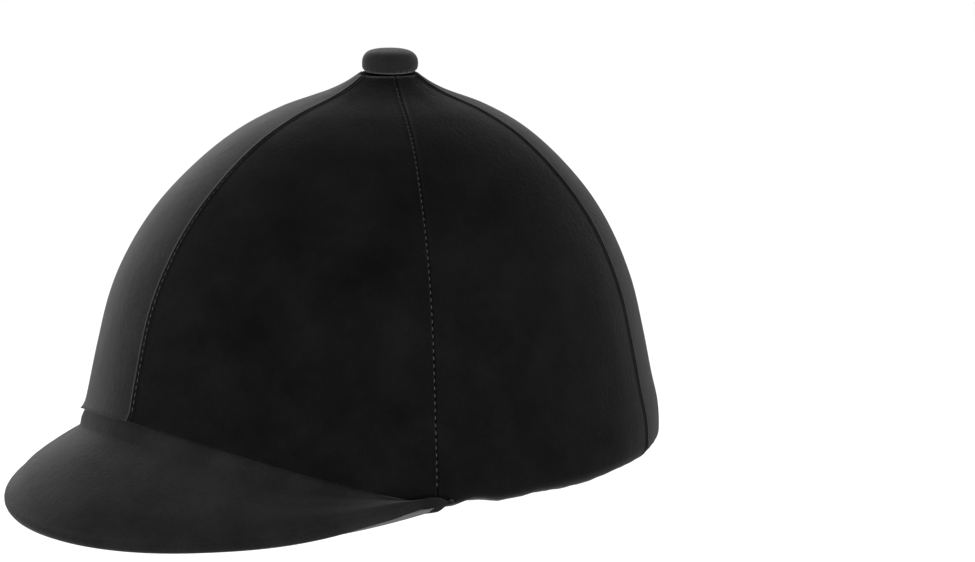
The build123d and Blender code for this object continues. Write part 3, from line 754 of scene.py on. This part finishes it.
# ---------------------------------------------------------------- cover: button
# The button's side view from the middle of its foot to the middle of its top: radius, height.
BUTTON_LINE = [
    (0.0, -0.2), (7.0, -0.1), (10.4, 0.2), (12.0, 1.6), (12.4, 4.0), (11.9, 6.6), (10.2, 8.7), (7.2, 9.8),
    (3.4, 10.15), (0.0, 10.2),
]
BUTTON_SIDES = 120
BUTTON_GATHERS = 24
BUTTON_TUCK = 3.2           # the gathers reach this high
button_rings = []
for r, z in smooth(BUTTON_LINE, 60)[1:-1]:
    ring = []
    for k in range(BUTTON_SIDES):
        angle = k * 360.0 / BUTTON_SIDES
        turn = math.radians(angle)
        tuck = ease((BUTTON_TUCK - z) / BUTTON_TUCK)
        gather = 0.22 * tuck * math.sin(math.radians(angle * BUTTON_GATHERS + 30 * wobble(angle * 0.05, 2.2)))
        puff = 0.25 * wobble(math.cos(turn) * 1.3, math.sin(turn) * 1.3, z * 0.1)
        ring.append(spoke(angle, r + gather + puff * (1 - tuck), BUTTON_FOOT + z))
    button_rings.append(ring)
button = outward(tube_object("covered_button", button_rings))
# The button takes a lighter copy of the velvet: painted light for its lit top.
finish_piece(button, "cover", "velvet", "button_velvet_lit_copy", "button_velvet")


# ---------------------------------------------------------------- cover: ribbon bow
KNOT_BACK = 118.5           # how far behind the button axis the knot and the loops lie
KNOT_HEIGHT = -6.4
KNOT_HALVES = (6.3, 6.0, 2.75)   # across, out, up
KNOT_ROWS, KNOT_SIDES = 30, 40
# One loop's route out and back: share of its reach, height.
LOOP_ROUTE = [
    (0.16, -5.2), (0.40, -4.9), (0.62, -5.9), (0.82, -8.2), (0.95, -11.0), (1.00, -13.4), (0.96, -15.0),
    (0.84, -15.4), (0.62, -13.6), (0.40, -10.4), (0.16, -7.4),
]


def set_metric_uv(obj, columns, rows, width, length):
    """A UV map in metres for a strip of so many millimetres: u across, v along."""
    layer = obj.data.uv_layers.new(name="metric")
    total = len(obj.data.vertices) // 2
    for loop in obj.data.loops:
        row, column = divmod(loop.vertex_index % total, columns)
        layer.data[loop.index].uv = (width * MM * column / (columns - 1), length * MM * row / (rows - 1))


def ribbon_piece(name, grid, length, node):
    """A satin strip on a grid of points, so many millimetres long."""
    piece = outward(sheet_object(name, grid, sunk_grid(grid, grid_normals(grid), RIBBON_THICKNESS)))
    set_metric_uv(piece, len(grid[0]), len(grid), RIBBON, length)
    finish_piece(piece, "cover", "satin", None, node)
    return piece


def ribbon_tail(side, hand):
    """One end of the bow: stands up the back of the hat, curls a little and ends in a V."""
    top = TAIL_TOPS[hand]
    route = [(124.9, -3.2), (130.3, 1.0), (131.7, 9.0), (130.9, 22.0), (126.9, 39.0),
             (126.9 - (top - 39.0) * 0.13, top)]
    knots = chord_knots(route)
    turn = math.radians(side * TAIL_LEAN)
    columns, rows = 15, 46
    grid = []
    for j in range(rows):
        line = []
        for i in range(columns):
            u = -1 + 2 * i / (columns - 1)
            notch = TAIL_NOTCH * (1 - abs(u))
            length = (knots[-1] - notch) * j / (rows - 1)
            y, z = hermite(knots, route, length)
            share = length / knots[-1]
            squeeze = 0.80 + 0.20 * ease(share / 0.35)
            x = u * RIBBON / 2 * squeeze
            curl = 0.7 * u * u * ease(share) + 0.48 * math.sin(share * 5.0 + side) * u
            fold = 0.5 * math.cos(u * 7.5) * (1 - ease(share / 0.3))
            leaning_x = x * math.cos(turn) + z * math.sin(turn) + side * TAIL_FOOT
            leaning_z = -x * math.sin(turn) + z * math.cos(turn)
            line.append(Vector((leaning_x, y + curl * 0.7 + fold, leaning_z)) * MM)
        grid.append(line)
    tail = ribbon_piece(f"ribbon_tail_{hand}", grid, knots[-1], f"bow_tail_{hand}")


def ribbon_loop(side, hand):
    """One loop of the bow, seen nearly edge-on from behind."""
    route = [(x * LOOP_REACH, z) for x, z in LOOP_ROUTE]
    knots = chord_knots(route)
    columns, rows = 11, 80
    grid = []
    for j in range(rows):
        share = j / (rows - 1)
        x, z = hermite(knots, route, knots[-1] * share)
        pinch = 0.5 + 0.5 * ease(min(share, 1 - share) / 0.16)
        line = []
        for i in range(columns):
            u = -1 + 2 * i / (columns - 1)
            tilt = 0.9 * u * math.sin(share * math.pi) * (1 if side > 0 else 0.6)
            y = KNOT_BACK + u * RIBBON / 2 * pinch
            line.append(Vector((side * x, y, z + tilt + 0.25 * u * u)) * MM)
        grid.append(line)
    loop = ribbon_piece(f"ribbon_loop_{hand}", grid, knots[-1], f"bow_loop_{hand}")


for side, hand in ((1, "left"), (-1, "right")):
    ribbon_tail(side, hand)
    ribbon_loop(side, hand)

knot_across, knot_out, knot_up = KNOT_HALVES
knot_rings = []
for j in range(KNOT_ROWS):
    u = -1 + 2 * j / (KNOT_ROWS - 1)
    ring = []
    for k in range(KNOT_SIDES):
        t = 2 * math.pi * k / KNOT_SIDES
        swell = 1 - abs(u) ** 3.2 * 0.55
        crease = 1 + 0.05 * math.cos(u * 14 + 0.6 * math.sin(t * 2))
        square = (abs(math.cos(t)) ** 4 + abs(math.sin(t)) ** 4) ** -0.25
        ring.append(Vector((u * knot_across, KNOT_BACK + knot_out * swell * crease * math.cos(t) * square,
                            KNOT_HEIGHT + knot_up * swell * crease * math.sin(t) * square)) * MM)
    knot_rings.append(ring)
knot = outward(tube_object("ribbon_knot", knot_rings))
layer = knot.data.uv_layers.new(name="metric")
for loop in knot.data.loops:
    row, column = divmod(loop.vertex_index, KNOT_SIDES)
    layer.data[loop.index].uv = (row * 0.0004, column * 0.0008)
finish_piece(knot, "cover", "satin", None, "bow_knot")


# ---------------------------------------------------------------- headband and crown pads
PAD_MIDDLE = 30.5           # height of the headband's middle
PAD_HALF_HEIGHT = 18.6
PAD_PIPING = 1.6            # thickness of a pad at its sewn edge
BAND_CHANNELS = (-0.6, -0.2, 0.2, 0.6)


def pad_rise(u, v, channels):
    """Height of a padded face from 0 to 1: crowned, round at its edges, pulled in at sewn channels."""
    rise = max(0.0, 1 - abs(u) ** 7) ** 0.45 * max(0.0, 1 - abs(v) ** 5) ** 0.5
    rise *= 0.90 + 0.10 * math.cos(u * 1.4) * math.cos(v * 1.4)
    for place, width in channels:
        rise -= 0.42 * math.exp(-((u - place) / width) ** 2) * (1 - abs(v) ** 6)
    return max(rise, 0.0)


def headband_pad(name, start, end, channels, node):
    """A pad between two angles; each channel has a place from -1 to 1 and a width."""
    rows, columns = 26, 30 + 12 * len(channels)
    base, rises = [], []
    for j in range(rows + 1):
        v = -1 + 2 * j / rows
        line, lifts = [], []
        for i in range(columns + 1):
            u = -1 + 2 * i / columns
            pull = 1 - 0.035 * (1 - v * v) * abs(u) ** 8
            angle = (start + end) / 2 + (end - start) / 2 * 0.985 * u * pull
            waist = 1 - 0.05 * (1 - abs(u) ** 4)
            z = PAD_MIDDLE - PAD_HALF_HEIGHT * v * waist
            line.append(spoke(angle, level_reach(half_length(z), angle), z))
            swell = 0.06 * wobble(u * 4.0, v * 3.0, start * 0.1)
            lifts.append(min(1.0, pad_rise(u, v, channels) * (1 + swell)))
        base.append(line)
        rises.append(lifts)
    normals = grid_normals(base)
    back = sunk_grid(base, normals, SHELL_TO_PADS + 0.3)
    full = PAD - PAD_PIPING
    face = offset_grid(base, normals, [[-SHELL_TO_PADS - 1.1 - full * r for r in line] for line in rises])
    pad = outward(sheet_object(name, back, face))
    finish_piece(pad, "helmet", "padding", None, node)


headband_pad("front_pad", -47, 47, [(place, 0.022) for place in BAND_CHANNELS], "pad_front")
headband_pad("left_pad", 74, 97, [(0.0, 0.06)], "pad_left")
headband_pad("right_pad", -97, -74, [(0.0, 0.06)], "pad_right")
headband_pad("rear_pad", 124, 236, [(place, 0.02) for place in BAND_CHANNELS], "pad_rear")

# Half-length and height of the crown pad's two faces, from the middle to its rim.
CROWN_PAD_BACK = [(0.3, 129.5), (6.0, 129.4), (20.1, 127.8), (36.9, 123.2), (53.0, 116.0)]
CROWN_PAD_FACE = [(0.3, 121.7), (5.0, 121.6), (18.4, 120.2), (34.0, 116.0), (50.5, 109.6)]
CROWN_PAD_RINGS, CROWN_PAD_SIDES = 34, 144
CROWN_PAD_SECTOR = 60.0     # angle between the quilted lines
back_line = smooth(CROWN_PAD_BACK, CROWN_PAD_RINGS)
face_line = smooth(CROWN_PAD_FACE, CROWN_PAD_RINGS)
pad_back, pad_face = [], []
for j, ((back_a, back_z), (face_a, face_z)) in enumerate(zip(back_line, face_line)):
    share = j / (CROWN_PAD_RINGS - 1)
    back_ring, face_ring = [], []
    for k in range(CROWN_PAD_SIDES):
        angle = k * 360.0 / CROWN_PAD_SIDES
        from_line = (angle + CROWN_PAD_SECTOR / 2) % CROWN_PAD_SECTOR - CROWN_PAD_SECTOR / 2
        line_width = 3.0 / max(share, 0.08)
        rib = 0.40 * math.exp(-(from_line / line_width) ** 2) * min(1.0, share * 4)
        dimple = 0.35 * math.exp(-(share / 0.06) ** 2)
        edge = 1 - max(0.0, 1 - share ** 7) ** 0.5 * (1 - rib) * (1 - dimple)
        a = face_a + (back_a - face_a) * edge * 0.8
        z = face_z + (back_z - 1.0 - face_z) * edge
        turn = math.radians(angle)
        for ring, half, height in ((back_ring, back_a, back_z), (face_ring, a, z)):
            ring.append(Vector((half * WIDTH_RATIO * math.sin(turn),
                                -half * math.cos(turn) - CROWN_PAD_FORWARD * half / 54.0, height)) * MM)
    pad_back.append(back_ring)
    pad_face.append(face_ring)
crown_pad = outward(tube_object("quilted_crown_pad", pad_back + pad_face[::-1]))
finish_piece(crown_pad, "helmet", "padding", None, "crown_pad")


# ---------------------------------------------------------------- harness webbing
def strap_point(side, across, up, depth):
    """A point on a stowed harness side: across is backwards, up runs along the straps."""
    tilt = math.radians(STOW_TILT)
    upward = Vector((-side * math.sin(tilt), 0, math.cos(tilt)))
    inward = Vector((-side * math.cos(tilt), 0, -math.sin(tilt)))
    return Vector((side * SWING_X, STRAP_MIDDLE + across, SWING_Z)) + upward * up + inward * depth


def webbing_strip(name, keys, rows):
    """A flat strap through keys in millimetres, each a middle point and half of its width as a vector."""
    columns = WEBBING_COLUMNS
    values = [tuple(middle) + tuple(half) for middle, half in keys]
    knots = chord_knots([v[:3] for v in values])
    base = []
    for j in range(rows):
        value = hermite(knots, values, knots[-1] * j / (rows - 1))
        middle, half = Vector(value[:3]), Vector(value[3:])
        base.append([(middle + half * (-1 + 2 * i / (columns - 1))) * MM for i in range(columns)])
    normals = grid_normals(base)
    across = []
    for i in range(columns):
        across.append(WEBBING_THICKNESS / 2 * (1 - 0.35 * abs(-1 + 2 * i / (columns - 1)) ** 6))
    front = offset_grid(base, normals, [across] * rows)
    back = offset_grid(base, normals, [[-x for x in across]] * rows)
    strip = outward(sheet_object(name, front, back))
    set_metric_uv(strip, columns, rows, WEBBING, knots[-1])
    return strip


def side_strap_keys(side, end):
    """Route of one side strap, from its rivet over the pads' lower edge and up to the divider."""
    along = STRAP_MIDDLE + end * ANCHOR_SPREAD
    a = half_length(ANCHOR_HEIGHT)
    inner_a, inner_b = a - SHELL_INNER, a * WIDTH_RATIO - SHELL_INNER
    offset = along + FORWARD_MOST
    x = inner_b * math.sqrt(1 - (offset / inner_a) ** 2)
    normal = Vector((side * x / inner_b ** 2, offset / inner_a ** 2, 0)).normalized()
    tangent = Vector((-normal.y, normal.x, 0)) * side * (WEBBING / 2)
    anchor = Vector((side * x, along, 0)) - normal * 2.0
    flat = Vector((0, WEBBING / 2, 0))
    head = end * (WEBBING / 2 + 1.6)
    foot = end * ANCHOR_SPREAD
    wide = flat / math.cos(math.atan2(abs(foot - head), STRAP_LENGTH))
    lean = (head - foot) / STRAP_LENGTH
    return [
        (anchor + Vector((0, 0, 29.8)), tangent),
        (anchor + Vector((0, 0, 21.0)), tangent),
        (anchor + Vector((0, 0, 15.6)), tangent),
        (anchor + Vector((-side * 1.2, 0, 13.0)), tangent),
        (Vector((side * (x - 6.5), along, SWING_Z)), flat),
        (Vector((side * (SWING_X + 6.0), along, SWING_Z)), flat),
        (Vector((side * (SWING_X + 2.0), along, SWING_Z)), flat),
        (strap_point(side, foot, 0.3, -0.4), flat),
        (strap_point(side, foot + lean * 3, 3.0, 0), wide),
        (strap_point(side, foot + lean * 9, 9.0, 0), wide),
        (strap_point(side, head, STRAP_LENGTH, 0), wide),
    ]


# How far up the stowed straps and how deep, for the loop through the divider and the chin strap.
CHIN_LOOP = [
    (63.0, 2.75), (68.0, 2.7), (71.5, 2.2), (73.6, 0.2), (75.0, -2.2), (77.5, -2.7), (80.0, -2.2),
    (81.6, 0.0), (82.0, 2.1),
]
CHIN_STRAP = [(82.0, 2.1), (81.2, 3.6), (79.0, 4.2), (70.0, 4.2), (60.0, 4.2), (50.0, 4.2), (38.2, 4.2)]

for side, hand in ((1, "left"), (-1, "right")):
    for end, place in ((-1, "front"), (1, "rear")):
        keys = side_strap_keys(side, end)
        strap = webbing_strip(f"webbing_{place}_{hand}", keys, 110)
        finish_piece(strap, None, "webbing", None, f"strap_{place}_{hand}", "anchor_straps")
        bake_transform(strap)
    across = Vector((0, WEBBING / 2, 0))
    loop_keys = [(strap_point(side, 0, up, depth), across) for up, depth in CHIN_LOOP]
    loop = webbing_strip(f"chin_loop_{hand}", loop_keys, 60)
    finish_piece(loop, f"harness_{hand}", "webbing")
    chin_keys = [(strap_point(side, 0, up, depth), across) for up, depth in CHIN_STRAP]
    chin = webbing_strip(f"chin_webbing_{hand}", chin_keys, 70)
    finish_piece(chin, f"chin_{hand}", "webbing", None, f"chin_strap_{hand}")

# ---------------------------------------------------------------- CAD nodes that are shown themselves
CARRIED = {
    "outer_shell": "shell", "shell_rim_trim": "trim", "impact_liner": "liner_foam", "rivets": "rivet_metal",
    "rivet_washers": "rivet_metal", "peak_core": "peak_board", "button_core": "button_plastic",
    "divider_left": "fittings", "divider_right": "fittings", "buckle_male": "fittings",
    "buckle_female": "fittings", "adjuster": "fittings", "strap_keeper": "trim",
    "hem_elastic": "webbing",
}
for node, material in CARRIED.items():
    NODES[node].data.materials.clear()
    NODES[node].data.materials.append(MATERIALS[material])

# ---------------------------------------------------------------- floor, light and camera
FLOOR = -0.20               # metres; the hat is shown held above it
FLOOR_THICKNESS = 0.05
floor_grid = [[Vector((x, y, FLOOR)) for x in (-8, -4, 0, 4, 8)] for y in (-8, -4, 0, 4, 8)]
floor_back = [[p - Vector((0, 0, FLOOR_THICKNESS)) for p in line] for line in floor_grid]
floor = outward(sheet_object("floor", floor_grid, floor_back))
floor_material, nodes, links, shader = new_material("pale_floor")
shader.inputs["Base Color"].default_value = (0.9, 0.9, 0.9, 1)
shader.inputs["Roughness"].default_value = 0.9
floor.data.materials.append(floor_material)

world = bpy.data.worlds.new("studio")
bpy.context.scene.world = world
world.use_nodes = True
background = world.node_tree.nodes["Background"]
background.inputs["Color"].default_value = (1, 1, 1, 1)
background.inputs["Strength"].default_value = 1.1


def area_light(name, place, aim, width, height, power):
    data = bpy.data.lights.new(name, "AREA")
    data.shape = "RECTANGLE"
    data.size = width
    data.size_y = height
    data.energy = power
    light = bpy.data.objects.new(name, data)
    bpy.context.scene.collection.objects.link(light)
    light.location = place
    light.rotation_euler = (Vector(aim) - Vector(place)).to_track_quat("-Z", "Y").to_euler()


area_light("key_left", (-1.5, -1.3, 0.5), (0, 0, 0.06), 0.9, 0.9, 22)
area_light("low_right", (1.6, 0.35, -0.05), (0.05, 0.05, 0.03), 0.8, 0.5, 26)
area_light("low_front", (0.5, -1.7, -0.02), (0, -0.1, 0.0), 0.9, 0.4, 22)

CAMERA_PLACE = Vector((1.1187, -0.9387, 0.3425))
CAMERA_AIM = Vector((0.0281, 0.034, 0.0722))
CAMERA_ROLL = math.radians(0.6)
camera_data = bpy.data.cameras.new("camera")
camera = bpy.data.objects.new("camera", camera_data)
bpy.context.scene.collection.objects.link(camera)
camera.location = CAMERA_PLACE
look = (CAMERA_AIM - CAMERA_PLACE).to_track_quat("-Z", "Y")
camera.rotation_euler = (look @ Quaternion((0, 0, 1), CAMERA_ROLL)).to_euler()
camera_data.sensor_width = 36
camera_data.lens = 122.8
bpy.context.scene.camera = camera
bpy.context.scene.view_settings.view_transform = "Standard"
